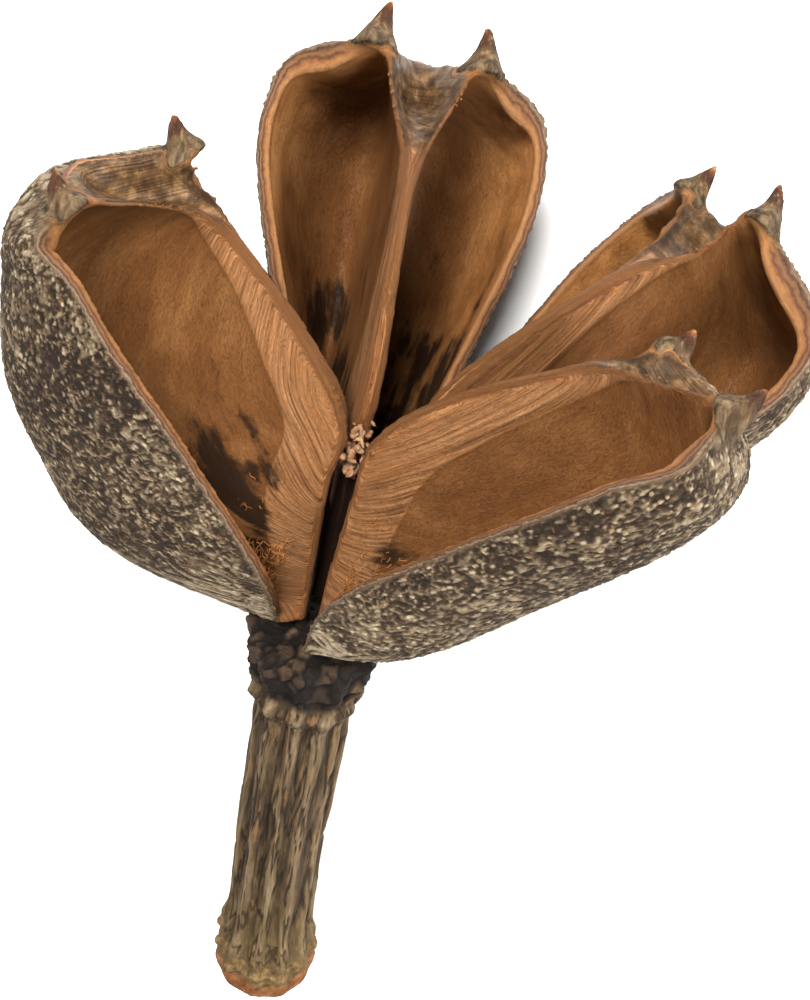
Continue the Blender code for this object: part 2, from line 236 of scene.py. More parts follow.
def smooth_noise(points, seed):
    """Gradient noise, about -1 to 1."""
    cell = np.floor(points)
    part = points - cell
    blend = part**3 * (part * (part * 6 - 15) + 10)
    total = np.zeros(len(points))
    for corner in np.ndindex(2, 2, 2):
        corner = np.array(corner)
        tall = hashed(cell + corner, seed) * 2 - 1
        around = hashed(cell + corner, seed + 101) * math.tau
        flat = np.sqrt(1 - tall**2)
        away = part - corner
        slope = away[:, 0] * flat * np.cos(around) + away[:, 1] * flat * np.sin(around) + away[:, 2] * tall
        weight = np.prod(np.where(corner, blend, 1 - blend), axis=1)
        total += slope * weight
    return total * 1.6


def layered_noise(points, seed, layers):
    """Layers of smooth noise, each twice as fine and half as strong as the one before."""
    total = np.zeros(len(points))
    size = 1.0
    for k in range(layers):
        total += size * smooth_noise(points * 2.03**k + k * 7.3, seed + k)
        size *= 0.5
    return total


def cell_noise(points, seed):
    """Distance to the nearest cell centre, to the second nearest, and the nearest one's own number."""
    cell = np.floor(points)
    near = np.full(len(points), 9.0)
    second = near.copy()
    own = np.zeros(len(points))
    for step in np.ndindex(3, 3, 3):
        other = cell + np.array(step) - 1
        centre = other + np.stack([hashed(other, seed + k) for k in range(3)], axis=1)
        away = np.linalg.norm(points - centre, axis=1)
        closer = away < near
        second = np.where(closer, near, np.minimum(second, away))
        own = np.where(closer, hashed(other, seed + 9), own)
        near = np.where(closer, away, near)
    return near, second, own


# ---------------------------------------------------------------- the valve's curves

def valve_pose(valve):
    grow = turn("Y", valve["lean"]) @ turn("X", -valve["gape"]) @ turn("Z", valve["twist"])
    facing = turn("Z", valve["facing"]) @ np.diag((-1.0, -1.0, 1.0))
    return facing @ grow * valve["size"], np.array(valve["base"], float)


def to_capsule(points, valve):
    matrix, base = valve_pose(valve)
    return points @ matrix.T + base


def to_valve(points, valve):
    matrix, base = valve_pose(valve)
    return np.linalg.solve(matrix, (np.asarray(points, float) - base).T).T


def station_curves(valve, at):
    places = [row[0] for row in STATIONS]
    size = valve["size"]
    rim = smooth_rows(places, [row[1] for row in STATIONS], at)
    edge = smooth_rows(places, [row[2] for row in STATIONS], at)
    back = smooth_rows(places, [(0.0, *row[3]) for row in STATIONS], at)
    low_full, high_full = valve["fullness"]
    fullness = low_full + (high_full - low_full) * ease((at - 0.45) / 0.4)
    back[:, 1] = rim[:, 1] + (back[:, 1] - rim[:, 1]) * fullness
    height = to_capsule(edge, valve)[:, 2]
    meet = ease((SEPTA_MEET + 2.0 - height) / 4.0)[:, None]
    outward = turn("Z", valve["facing"]) @ (0.0, -1.0, 0.0)
    foot = np.array((*valve["base"][:2], 0.0)) * 0.5
    rise = np.clip(height / SEPTA_MEET, 0, 1)[:, None]
    axis = foot * (1 - rise) + outward * SEPTA_GAP + height[:, None] * (0.0, 0.0, 1.0)
    axis_edge = to_valve(axis, valve)
    sides = {}
    for side, width, foot_share, horn in zip((-1, 1), valve["widths"], valve["feet"], valve["horns"]):
        width = width * (foot_share + (1 - foot_share) * ease(at / 0.7))
        mirror = np.array((side, 1.0, 1.0))
        shift = np.outer(ease((at - PULL_START) / (1 - PULL_START)), horn) * HORN_PULL
        side_rim = rim * mirror * np.stack((width, at * 0 + 1, at * 0 + 1), axis=1) + shift
        side_edge = edge * mirror + shift * ease((at - CLEFT_START) / 0.2)[:, None]
        joined = axis_edge + np.outer(edge[:, 0] * side / size, (1, 0, 0))
        side_edge = side_edge * (1 - meet) + joined * meet
        placed = to_capsule(side_edge, valve)
        short = np.maximum(0.6 * SEPTA_GAP - placed @ outward, 0)
        side_edge = to_valve(placed + np.outer(short, outward), valve)
        side_rim[:, 0] = side * np.maximum(side * side_rim[:, 0], side * side_edge[:, 0] + LIP_WIDTH)
        sides[side] = side_rim, side_edge
    return sides, back


def back_surface(sides, back):
    angle = np.linspace(-1, 1, BACK_STEPS + 1) * BACK_WRAP
    across = np.sin(np.abs(angle)) / math.sin(BACK_WRAP)
    near_back = (np.cos(angle) - math.cos(BACK_WRAP)) / (1 - math.cos(BACK_WRAP))
    grid = np.zeros((len(back), BACK_STEPS + 1, 3))
    for k, a in enumerate(angle):
        rim = sides[1 if a >= 0 else -1][0]
        grid[:, k, 0] = rim[:, 0] * across[k]
        grid[:, k, 1:] = rim[:, 1:] * (1 - near_back[k]) + back[:, 1:] * near_back[k]
    return grid


def resample(points, count):
    length = run_of(points)
    at = np.linspace(0, length[-1], count)
    return np.stack([np.interp(at, length, points[:, i]) for i in range(3)], axis=1)


def run_of(points):
    """Length run along a polyline up to each of its points."""
    return np.concatenate(((0.0,), np.cumsum(np.linalg.norm(np.diff(points, axis=0), axis=1))))


def soften(line, rounds):
    """The same row of points, or of rings, with its inner ones relaxed and its ends kept."""
    line = line.copy()
    for _ in range(rounds):
        line[1:-1] = line[1:-1] * 0.5 + (line[:-2] + line[2:]) * 0.25
    return line


def chamber_line(inner, edge, side, open_share, root):
    """One half's hollow at one station, from its rim round to the seed wall's edge."""
    middle = len(inner) // 2
    wall = inner[middle::side] if side > 0 else inner[middle::-1]
    wall = wall[::-1].copy()
    root_half = root + 0.35 * max(abs(edge[0]) - SEED_WALL_HALF, 0.0)
    wall[:, 0] = side * np.maximum(np.abs(wall[:, 0]), root_half)
    wall = resample(wall, WALL_STEPS + 1)
    face = np.linspace(wall[-1], edge, SEED_WALL_STEPS + 1)[1:]
    line = soften(np.concatenate((wall, face)), WALL_ROUNDS)
    chord = np.linspace(line[0], line[-1], len(line))
    return chord + (line - chord) * open_share


# What each point of a valve knows about where it is. Lengths are in mm.
FACTS = ("outside", "along", "across", "rim", "edge", "cleft", "horn")


def fact_rows(count, **values):
    """The facts of so many points, each 0 where it isn't given."""
    rows = np.zeros((count, len(FACTS)))
    for key, value in values.items():
        rows[:, FACTS.index(key)] = value
    return rows


def valve_rings(valve):
    """The valve's closed rings of points, and each point's facts."""
    at = np.linspace(0, 1, STATION_COUNT)
    sides, back = station_curves(valve, at)
    outer = back_surface(sides, back)
    normal = np.cross(np.gradient(outer, axis=1), np.gradient(outer, axis=0))
    normal /= np.maximum(np.linalg.norm(normal, axis=2, keepdims=True), 1e-9)
    thick = WALL_THICK * (0.72 + 0.28 * ease((0.3 - at) / 0.3)) + RIM_AT_CROWN * ease((at - 0.74) / 0.16)
    room = np.min([(rim[:, 0] - edge[:, 0]) * side for side, (rim, edge) in sides.items()], axis=0)
    thick = np.minimum(thick, np.maximum(0.55 * room, 0.2) + 2.0 * ease((0.6 - at) / 0.1))
    inner = outer + normal * thick[:, None, None]
    low, high = CHAMBER_ENDS
    open_share = np.sqrt(np.clip(at / low, 0, 1)) * np.sqrt(np.clip((1 - at) / (1 - high), 0, 1))
    rings, facts = [], []
    for i, place in enumerate(at):
        lines = {}
        for side, (rim, edge) in sides.items():
            roomy = ease(((rim[i, 0] - edge[i, 0]) * side - LIP_WIDTH) / ROOM_FOR_HOLLOW)
            root = SEED_WALL_HALF + WEDGE * ease((0.50 - place) / 0.32)
            lines[side] = chamber_line(inner[i], edge[i], side, open_share[i] * roomy, root)
        plus, minus = lines[1], lines[-1]
        mouth = (plus[-1] + minus[-1]) / 2
        depth = 0.012 + CLEFT_DEPTH * ease((place - CLEFT_START) / 0.12)
        depth += (SADDLE_DEPTH - CLEFT_DEPTH) * ease((place - 0.9) / 0.1)
        floor = mouth + (inner[i][BACK_STEPS // 2] - mouth) * depth
        near = (plus[-1] * 0.35 + floor * 0.65, floor, minus[-1] * 0.35 + floor * 0.65)
        cleft = soften(resample(np.array((plus[-1], *near, minus[-1])), CLEFT_STEPS + 2), 2)[1:-1]
        rings.append(np.concatenate((outer[i], plus, cleft, minus[::-1])))
        facts.append(ring_facts(place, outer[i], plus, cleft, minus))
    return soften(np.array(rings), RING_ROUNDS), np.array(facts)


def ring_facts(place, outer, plus, cleft, minus):
    """The facts of one ring: round the back, through one hollow, the cleft and the other hollow."""
    along = place * VALVE_LENGTH
    run = run_of(outer)
    rows = [fact_rows(len(outer), outside=1, along=along, across=run - run[-1] / 2,
                      rim=np.minimum(run, run[-1] - run), edge=FAR)]
    for side, line in ((1, plus), (-1, minus[::-1])):
        run = run_of(line)
        from_rim = run if side > 0 else run[-1] - run
        rows.append(fact_rows(len(line), along=along, across=side * (HALVES_APART + from_rim),
                              rim=from_rim, edge=run[-1] - from_rim))
    rows.insert(2, fact_rows(len(cleft), along=along, rim=FAR, cleft=1))
    return np.concatenate(rows)


# ---------------------------------------------------------------- meshes

def grid_faces(rows, columns, start=0):
    faces = []
    for r in range(rows - 1):
        for c in range(columns):
            a = start + r * columns + c
            b = start + r * columns + (c + 1) % columns
            faces.append((a, b, b + columns, a + columns))
    return faces


def horn_path(corner, side, horn):
    """Points along a horn's curved middle, from inside the crown to the tip."""
    tip = np.array((side * HORN_TIP[0], HORN_TIP[1], HORN_TIP[2])) + horn
    lean = (tip - corner) / np.linalg.norm(tip - corner)
    foot = corner - lean * HORN_SINK + (0.0, 0.7, 0.0)
    t = np.linspace(0, 1, HORN_RINGS)[:, None]
    bend = np.array((0.1 * side, 0.22, 0.0)) * np.sin(t * math.pi)
    return foot + (tip - foot) * t + bend


def horn_tube(path, seed):
    """A tapering spike with a flared foot along a path, and how far up it each point is."""
    t = np.linspace(0, 1, len(path))
    radius = np.interp(t, *zip(*HORN_RADII))
    ahead = np.gradient(path, axis=0)
    ahead /= np.linalg.norm(ahead, axis=1, keepdims=True)
    side = np.cross(ahead, (0.0, 1.0, 0.0))
    side /= np.linalg.norm(side, axis=1, keepdims=True)
    up = np.cross(side, ahead)
    angle = np.linspace(0, math.tau, HORN_SIDES, endpoint=False)
    ridge = 1 + 0.16 * np.cos(3 * angle + seed) + 0.08 * np.cos(5 * angle + 2 * seed)
    around = side[:, None] * np.cos(angle)[None, :, None] + up[:, None] * np.sin(angle)[None, :, None]
    points = path[:, None] + around * (radius[:, None] * ridge[None, :])[:, :, None]
    return points, np.repeat(t[:, None], HORN_SIDES, axis=1)


def horn_foot_share(points, valve):
    """How much each point belongs to a horn's foot, and to the wider collar around it."""
    sides, _ = station_curves(valve, np.array((0.0, 1.0)))
    share = np.zeros(len(points))
    collar = share.copy()
    for side, horn in zip((-1, 1), valve["horns"]):
        corner = sides[side][0][-1]
        tip = np.array((side * HORN_TIP[0], HORN_TIP[1], HORN_TIP[2])) + horn
        ends = to_capsule(np.array((corner, tip)), valve)
        lean = (ends[1] - ends[0]) / np.linalg.norm(ends[1] - ends[0])
        away = points - ends[0]
        up = away @ lean
        aside = np.linalg.norm(away - np.outer(up, lean), axis=1)
        foot = ease((1.0 - up) / 0.9) * ease((up + 1.8) / 0.9) * ease((2.6 - aside) / 1.4)
        ring = ease((2.2 - up) / 1.4) * ease((up + 2.0) / 1.4) * ease((3.0 - aside) / 1.7)
        share = np.maximum(share, foot)
        collar = np.maximum(collar, ring)
    return share, collar


def valve_source(valve):
    """The valve with its horns as overlapping closed lofts, and the facts of every point."""
    rings, facts = valve_rings(valve)
    columns = rings.shape[1]
    points = [rings.reshape(-1, 3)]
    known = [facts.reshape(-1, len(FACTS))]
    faces = grid_faces(len(rings), columns)
    faces += [tuple(range(columns))[::-1], tuple(range((len(rings) - 1) * columns, len(rings) * columns))]
    start = len(points[0])
    top = rings[-1]
    for side, corner, horn in ((-1, top[0], valve["horns"][0]), (1, top[BACK_STEPS], valve["horns"][1])):
        tube, height = horn_tube(horn_path(corner, side, horn), valve["seed"] + side)
        count, around = height.shape
        points.append(tube.reshape(-1, 3))
        flat = height.reshape(-1)
        known.append(fact_rows(len(flat), outside=1, along=VALVE_LENGTH, across=side * 3, rim=3,
                               edge=FAR, horn=flat))
        faces += grid_faces(count, around, start)
        faces += [tuple(range(start, start + around))[::-1],
                  tuple(range(start + (count - 1) * around, start + count * around))]
        start += len(flat)
    return to_capsule(np.concatenate(points), valve), np.concatenate(known), faces


def even_mesh(name, points, faces, size):
    """The solid that the faces bound, as one mesh of small even faces."""
    data = bpy.data.meshes.new(name)
    data.from_pydata([tuple(p) for p in points], [], faces)
    body = in_scene(name, data)
    remesh = body.modifiers.new("even", "REMESH")
    remesh.mode = "VOXEL"
    remesh.voxel_size = size
    made = bpy.data.meshes.new_from_object(body.evaluated_get(bpy.context.evaluated_depsgraph_get()))
    bpy.data.objects.remove(body)
    bpy.data.meshes.remove(data)
    return made


def in_scene(name, data):
    """A new object that is linked into the scene."""
    made = bpy.data.objects.new(name, data)
    bpy.context.scene.collection.objects.link(made)
    return made


def read_points(mesh):
    flat = np.empty(len(mesh.vertices) * 3)
    mesh.vertices.foreach_get("co", flat)
    return flat.reshape(-1, 3)


def write_points(mesh, points):
    mesh.vertices.foreach_set("co", points.ravel())
    mesh.update()


def read_normals(mesh):
    flat = np.empty(len(mesh.vertices) * 3, dtype=np.float32)
    mesh.vertex_normals.foreach_get("vector", flat)
    return flat.reshape(-1, 3).astype(float)


def neighbours(mesh):
    flat = np.empty(len(mesh.edges) * 2, dtype=np.int32)
    mesh.edges.foreach_get("vertices", flat)
    pairs = flat.reshape(-1, 2)
    counts = np.bincount(pairs.ravel(), minlength=len(mesh.vertices)).astype(float)
    return pairs, np.maximum(counts, 1)


def relax(values, ties, rounds, share=0.5):
    """Values at a mesh's points, each drawn toward its neighbours' average."""
    pairs, counts = ties
    for _ in range(rounds):
        total = np.zeros_like(values)
        for k in range(values.shape[1]):
            for a, b in ((0, 1), (1, 0)):
                seen = values[pairs[:, b], k]
                total[:, k] += np.bincount(pairs[:, a], weights=seen, minlength=len(values))
        values = values + (total / counts[:, None] - values) * share
    return values


def facts_on(points, source, known, faces):
    """Each point's facts, read off the nearest place on the source surface."""
    corners = np.array([(f[0], f[1], f[2]) for f in faces if len(f) == 4]
                       + [(f[0], f[2], f[3]) for f in faces if len(f) == 4])
    tree = BVHTree.FromPolygons([tuple(p) for p in source], corners.tolist())
    found = [tree.find_nearest(tuple(p)) for p in points]
    hit = np.array([tuple(f[0]) for f in found])
    tri = corners[[f[2] for f in found]]
    a, b, c = (source[tri[:, i]] for i in range(3))
    u, v, w = b - a, c - a, hit - a
    uu, uv, vv = (u * u).sum(1), (u * v).sum(1), (v * v).sum(1)
    wu, wv = (w * u).sum(1), (w * v).sum(1)
    bottom = np.maximum(uu * vv - uv * uv, 1e-12)
    s = np.clip((vv * wu - uv * wv) / bottom, 0, 1)[:, None]
    t = np.clip((uu * wv - uv * wu) / bottom, 0, 1)[:, None]
    return known[tri[:, 0]] * (1 - s - t) + known[tri[:, 1]] * s + known[tri[:, 2]] * t


def lay_points(points):
    return (points @ np.array(LAID_TURN).T + LAID_ORIGIN) * MM


def keep_inside(points, low, high):
    return np.clip(points, np.array(low), np.array(high))


def add_fact(mesh, name, values):
    values = np.asarray(values, dtype=np.float32)
    kind = "FLOAT" if values.ndim == 1 else "FLOAT_VECTOR"
    layer = mesh.attributes.new(name, kind, "POINT")
    layer.data.foreach_set("value" if values.ndim == 1 else "vector", values.ravel())


def show(name, mesh, material, replaced=None):
    mesh.name = name
    mesh.materials.clear()
    mesh.materials.append(material)
    mesh.polygons.foreach_set("use_smooth", np.ones(len(mesh.polygons), dtype=bool))
    body = in_scene(name, mesh)
    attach(body, "root")
    if replaced:
        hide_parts(replaced)


# ---------------------------------------------------------------- the valves' relief

def flange_width(along):
    """Width of the pale ribbed flange beside the seed wall's edge, from base to crown."""
    places = np.array((0.0, 0.08, 0.2, 0.35, 0.5, 0.62, 0.75, 0.9, 1.0)) * VALVE_LENGTH
    return np.interp(along, places, (1.2, 2.6, 4.0, 4.3, 3.4, 2.2, 1.1, 0.6, 0.5))


def even_valve(name, valve):
    """The valve as an even mesh with its joins smoothed, and what is known at each point."""
    source, known, faces = valve_source(valve)
    mesh = even_mesh(name, source, faces, REMESH_SIZE)
    points = read_points(mesh)
    ties = neighbours(mesh)
    facts = relax(facts_on(points, source, known, faces), ties, 4)
    points = relax(points, ties, 4, 0.45)
    foot, collar = horn_foot_share(points, valve)
    points = relax_some(points, ties, 28, foot)
    f = {key: facts[:, i] for i, key in enumerate(FACTS)}
    f["horn"] = f["horn"] * (1 - foot * 0.6)
    f["collar"] = collar
    points = relax_some(points, ties, 18, ease((1.3 - f["edge"]) / 0.9) * ease((f["along"] - 19.0) / 3.0))
    write_points(mesh, points)
    return mesh, points, ties, f


def relax_some(points, ties, rounds, share):
    """The points relaxed as far as each one's share says."""
    share = share[:, None]
    return points * (1 - share) + relax(points, ties, rounds) * share


def valve_lift(f, points, grain, ties):
    """How far each point's fine relief stands off the plain valve."""
    flange = f["flange"]
    lift = lip_relief(f["lip"], grain)
    lift += flange * (0.07 * layered_noise(grain * (3.4, 0.16, 1), 8, 2) + 0.10)
    inner = (1 - f["outside"]) * (1 - flange)
    lift += inner * 0.03 * layered_noise(grain * (0.9, 0.5, 1), 14, 3)
    horn = ease((f["horn"] - 0.22) / 0.2)
    lift += horn * 0.05 * layered_noise(points * (2.5, 2.5, 0.5), 17, 2)
    trench = ease((f["cleft"] - 0.3) / 0.4) * ease((f["along"] - 25.0) / 2.0)
    lift += trench * 0.12 * layered_noise(points * 1.3, 19, 3)
    ridge = ease((0.5 - f["edge"]) / 0.5) * (1 - f["outside"])
    lift += ridge * 0.05 * layered_noise(grain * (2.0, 0.5, 1), 21, 2)
    bark = ease((f["outside"] - 0.55) / 0.35) * (1 - ease((f["horn"] - 0.5) / 0.4))
    return relax(lift[:, None], ties, 4)[:, 0] + bark * f["flakes"] * (1 - 0.6 * f["collar"])


def make_valve(name, valve, material):
    mesh, points, ties, f = even_valve(name, valve)
    normals = read_normals(mesh)
    seed = valve["seed"]
    grain = np.stack((f["across"], f["along"], np.full(len(points), seed * 3.1)), axis=1)
    f["lip"] = lip_place(f)
    width = flange_width(f["along"]) + 0.25 * smooth_noise(grain * (0.15, 0.14, 1), 5)
    f["flange"] = ease((width - f["edge"]) / 0.35) * (1 - f["outside"])
    f["stain"] = stain_amount(f, grain, seed, valve["stain"])
    # Painted shade: the hollow darkens with distance inside its rim, away from the cleft.
    f["deep"] = (1 - f["outside"]) * ease(f["rim"] / 7.5) * (1 - ease(f["cleft"] * 2))
    f["flakes"], pale = bark_relief(f, grain, seed)
    f["pale"] = pale * (1 - 0.75 * np.maximum(f["collar"], f["horn"]))
    points = points + normals * valve_lift(f, points, grain, ties)[:, None]
    # Painted shade: near-black in the gap between the seed walls, low on the axis.
    f["core_shade"] = shade_of_core(points, normals)
    write_points(mesh, keep_inside(lay_points(points), *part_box(name)))
    for key in ("outside", "lip", "flange", "stain", "cleft", "horn", "pale", "along", "edge", "core_shade",
                "deep", "collar"):
        add_fact(mesh, key, f[key])
    add_fact(mesh, "grain", grain)
    add_fact(mesh, "place", points)
    show(name, mesh, material, name)
    return points, normals, f


def lip_place(f):
    """How far past the inner edge of the rim a point lies, going outward over the lip, in mm."""
    over = f["outside"] * 0.75
    inside = np.where(f["outside"] < 0.05, -f["rim"], 0.0)
    outside = np.where(f["outside"] > 0.95, f["rim"], 0.0)
    return over + inside + outside


def lip_relief(lip, grain):
    rough = smooth_noise(grain * (1.5, 1.5, 1), 31) * 0.12
    at = lip + rough
    return 0.07 * bump_at(at, 0.1, 0.35) - 0.10 * bump_at(at, 0.42, 0.16) + 0.09 * bump_at(at, 0.85, 0.4)


def stain_amount(f, grain, seed, reach):
    """Dark staining of a half's hollow, heavy and streaky toward the base."""
    inner = 1 - ease(f["outside"] * 2)
    low = ease((reach - f["along"]) / (0.75 * reach))
    blotch = layered_noise(grain * (0.42, 0.24, 1), seed + 3, 5)
    streak = layered_noise(grain * (1.5, 0.22, 1), seed + 4, 3)
    amount = low * 0.95 + 0.9 * blotch * (0.4 + low) + 0.4 * streak * (0.3 + low) - 0.12
    near_floor = ease((f["edge"] - 2.0) / 2.4)
    return np.clip(amount, 0, 1) * inner * near_floor


def bark_relief(f, grain, seed):
    """Height of the bark's flakes, and how pale each point of it is."""
    flat = np.array((1.0, 1.0, 0.0))
    warp = np.stack([smooth_noise(grain * (0.5, 0.5, 1), seed + k) for k in (5, 6, 7)], axis=1) * flat
    fine = np.stack([smooth_noise(grain * (1.7, 1.7, 1), seed + k) for k in (8, 9, 10)], axis=1) * flat
    bent = grain + warp * 0.7 + fine * 0.30
    near, second, own = cell_noise(bent * (2.3, 1.8, 1), seed)
    islands = ease((second - near) / 0.4) * (0.15 + 0.85 * own**1.3)
    worms = 1 - ease(np.abs(smooth_noise(bent * (1.9, 1.35, 1), seed + 20)) / 0.26)
    spots = 0.55 * islands + 0.5 * worms
    fibre_base = ease((9.0 - f["along"]) / 6.0)
    fibre_top = ease((f["along"] - 27.5) / 3.5)
    fibre = np.maximum(fibre_base, fibre_top)
    lines = ease(0.5 + 0.9 * layered_noise((grain + warp * 1.5) * (2.8, 0.45, 1), seed + 12, 3))
    height = spots * (1 - fibre) + lines * fibre
    wide = layered_noise(grain * (0.14, 0.14, 1), seed + 14, 2)
    grit = layered_noise(bent * (3.4, 3.0, 1), seed + 16, 2)
    pale = np.clip(height * 0.85 + 0.16 * wide + 0.12 * grit, 0, 1)
    big = bump_at(smooth_noise(grain * (0.45, 0.4, 1), seed + 17), 0.75, 0.3)
    return 0.15 * height + 0.05 * grit + 0.12 * big - 0.10, pale


def shade_of_core(points, normals):
    """How much painted shade a point gets in the gap between the seed walls, low down on the axis."""
    reach = np.linalg.norm(points[:, :2], axis=1)
    inward = -(normals[:, :2] * points[:, :2]).sum(1) / np.maximum(reach, 1e-6)
    return ease((12.4 - points[:, 2]) / 1.4) * ease((3.4 - reach) / 1.2) * ease((inward - 0.15) / 0.45)


# ---------------------------------------------------------------- the stalk

def stalk_rows():
    rows = np.array(STALK_PROFILE)[::-1]
    steps = int((rows[-1, 0] - rows[0, 0]) / STALK_RING_GAP)
    heights = np.linspace(rows[0, 0], rows[-1, 0], steps)
    shape = smooth_rows(rows[:, 0], rows[:, 1:], heights)
    cap = np.linspace(0.02, 1, 16, endpoint=False)
    low = np.stack((np.full(16, heights[0]), cap * shape[0, 0], cap * 0), axis=1)
    high = np.stack((np.full(16, heights[-1]), cap[::-1] * shape[-1, 0], cap * 0), axis=1)
    return np.concatenate((low, np.column_stack((heights, shape)), high))


def stalk_mesh(name):
    """The ribbed, slightly bent stalk, with its grain and how far each point is up a rib."""
    rows = stalk_rows()
    angle = np.linspace(0, math.tau, STALK_SIDES, endpoint=False)
    height, radius, rib = (rows[:, i:i + 1] for i in range(3))
    wander = 0.35 * np.sin(height * 0.35) + 0.2 * np.sin(height * 0.9 + 1)
    ridged = radius * (1 + rib * np.sin(STALK_RIBS * angle + wander) + 0.4 * rib * np.sin(5 * angle - wander))
    drift = STALK_BEND * (height / STALK_LENGTH) ** 2
    full = np.broadcast_to(height, ridged.shape)
    points = np.stack((drift + ridged * np.cos(angle), ridged * np.sin(angle), full), axis=2).reshape(-1, 3)
    data = bpy.data.meshes.new(name)
    faces = grid_faces(len(rows), STALK_SIDES)
    last = (len(rows) - 1) * STALK_SIDES
    faces += [tuple(range(STALK_SIDES))[::-1], tuple(range(last, last + STALK_SIDES))]
    data.from_pydata([tuple(p) for p in points], [], faces)
    data.update()
    around, reach, sway = (np.broadcast_to(a, ridged.shape).reshape(-1) for a in (angle, radius, wander))
    grain = np.stack((np.cos(around) * reach, np.sin(around) * reach, points[:, 2]), axis=1)
    return data, points, grain, around, ease(0.5 + 0.5 * np.sin(STALK_RIBS * around + sway))


def make_stalk(name, material):
    data, points, grain, around, furrow = stalk_mesh(name)
    normals = read_normals(data)
    heights = points[:, 2]
    head = ease((heights - HEAD_END) / 0.5)
    foot = ease(FOOT_START - heights)
    uneven = 0.35 * smooth_noise(grain * 0.5, 77)
    disc = ease((DISC_START - heights + uneven) / 0.3)
    stem = (1 - head) * (1 - foot)

    ridges = layered_noise(grain * (1.9, 1.9, 0.09), 61, 3)
    cracks = 1 - ease(np.abs(layered_noise(grain * (1.2, 1.2, 0.10), 63, 3)) / 0.14)
    furrows = bump_at(np.sin(4 * around + 0.1 * heights), -1, 0.12)
    lift = stem * (0.10 * ridges - 0.15 * cracks - 0.12 * furrows)
    bent = grain + 0.3 * smooth_noise(grain, 70)[:, None]
    near, second, own = cell_noise(bent * (1.0, 1.0, 0.6), 71)
    scales = ease((second - near) / 0.3) * own
    lift += head * (0.34 * scales - 0.25 + 0.07 * layered_noise(grain * 2.2, 72, 3))
    lift += 0.10 * bump_at(heights, RING_AT, 0.25) * (1 + 0.5 * smooth_noise(grain, 73))
    lift -= 0.08 * bump_at(heights, RING_GROOVE_AT, 0.2)
    lift += foot * (1 - disc) * (0.22 * layered_noise(grain * (0.8, 0.8, 1.4), 74, 3) - 0.10)
    lift += disc * 0.05 * layered_noise(grain * 1.6, 75, 3)
    crease = bump_at(heights + uneven, CREASE_AT, 0.45)
    lift -= 0.5 * crease

    moved = points + normals * lift[:, None]
    write_points(data, keep_inside(lay_points(moved), *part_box(name)))
    for key, values in (("head", head), ("foot", foot), ("disc", disc), ("rib", furrow),
                        ("crack", np.maximum(cracks * stem, crease)), ("scales", scales),
                        ("height", heights), ("grain", grain), ("place", moved)):
        add_fact(data, key, values)
    show(name, data, material, name)


# ---------------------------------------------------------------- fibres and crumbs

def make_fibres(name, roots, ways, count, length, thick, material, seed):
    """Thin curly fibres growing from some of the given root points."""
    random = np.random.default_rng(seed)
    picks = random.choice(len(roots), size=min(count, len(roots)), replace=False)
    curve = bpy.data.curves.new(name, "CURVE")
    curve.dimensions = "3D"
    curve.bevel_depth = thick * MM
    curve.bevel_resolution = 1
    for pick in picks:
        at = roots[pick].copy()
        way = ways[pick] + random.normal(0, 0.7, 3)
        way /= np.linalg.norm(way)
        spin = random.normal(0, 1, 3) * FIBRE_CURL
        step = length * random.uniform(0.5, 1.2) / FIBRE_STEPS
        line = [at - way * 0.1]
        for _ in range(FIBRE_STEPS):
            way = way + np.cross(spin, way) * 0.45 + random.normal(0, 0.14, 3)
            way /= np.linalg.norm(way)
            at = at + way * step
            line.append(at.copy())
        spline = curve.splines.new("POLY")
        spline.points.add(len(line) - 1)
        placed = lay_points(np.array(line))
        for k, (point, radius) in enumerate(zip(placed, np.linspace(1.0, 0.35, len(line)))):
            spline.points[k].co = (*point, 1.0)
            spline.points[k].radius = radius
    curve.materials.append(material)
    body = in_scene(name, curve)
    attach(body, "root")


def make_crumbs(name, material):
    """Pale fibrous bits left where the four seed walls tore apart."""
    random = np.random.default_rng(7)
    mesh = bmesh.new()
    for _ in range(CRUMB_COUNT):
        angle = random.uniform(0, math.tau)
        reach = random.uniform(0.1, 1.0)
        height = random.uniform(*CRUMB_HEIGHTS)
        place = np.array((reach * math.cos(angle), reach * math.sin(angle), height))
        made = bmesh.ops.create_icosphere(mesh, subdivisions=2, radius=1.0)["verts"]
        size = random.uniform(0.07, 0.24, 3) * (1, 1, 1.8)
        twist = np.array(Matrix.Rotation(random.uniform(0, math.tau), 3, Vector(random.normal(0, 1, 3))))
        lumps = np.array([v.co for v in made])
        lumps *= 1 + 0.35 * smooth_noise(lumps * 1.6 + height * 5, 3)[:, None]
        for vert, co in zip(made, lay_points((lumps * size) @ twist.T + place)):
            vert.co = co
    data = bpy.data.meshes.new(name)
    mesh.to_mesh(data)
    mesh.free()
    show(name, data, material)


def fibre_roots(points, normals, f, low, high):
    """Places on a valve's hollow between two distances along it, and the way fibres leave them."""
    inside = (f["outside"] < 0.1) & (f["cleft"] < 0.1) & (f["edge"] > 2.0) & (f["rim"] > 1.0)
    picked = np.nonzero(inside & (f["along"] > low) & (f["along"] < high))[0]
    return points[picked], normals[picked] * 0.9 + (0, 0, 0.35)


# ---------------------------------------------------------------- materials

